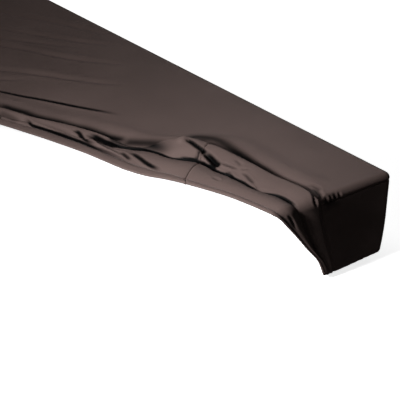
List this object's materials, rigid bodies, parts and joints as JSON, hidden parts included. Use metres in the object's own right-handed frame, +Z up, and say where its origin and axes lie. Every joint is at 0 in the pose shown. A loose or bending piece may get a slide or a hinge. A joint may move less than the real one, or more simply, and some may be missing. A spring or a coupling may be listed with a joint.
{
  "type": "keyboard instrument dust cover",
  "caption": "Hollow stretch dust cover for a 73-key stage piano, elastic hem tucked under, drawn back and folded at its front right corner.",
  "frame": {"origin": "under the middle of the top panel, where it lies on the instrument", "axes": "+X to the right end along the length, +Y to the back, +Z up"},
  "size_m": [1.0897, 0.3178, 0.103],
  "materials": {
    "cover_top": "fine matt stretch knit, warm dark grey-brown",
    "cover_skirt": "fine matt stretch knit, warm dark grey-brown"
  },
  "bodies": {
    "root": {"top_panel": "cover_top", "skirt_back": "cover_skirt", "skirt_end_right": "cover_skirt", "skirt_end_left": "cover_skirt", "skirt_front_left": "cover_skirt", "skirt_front_right": "cover_skirt"}
  },
  "joints": []
}
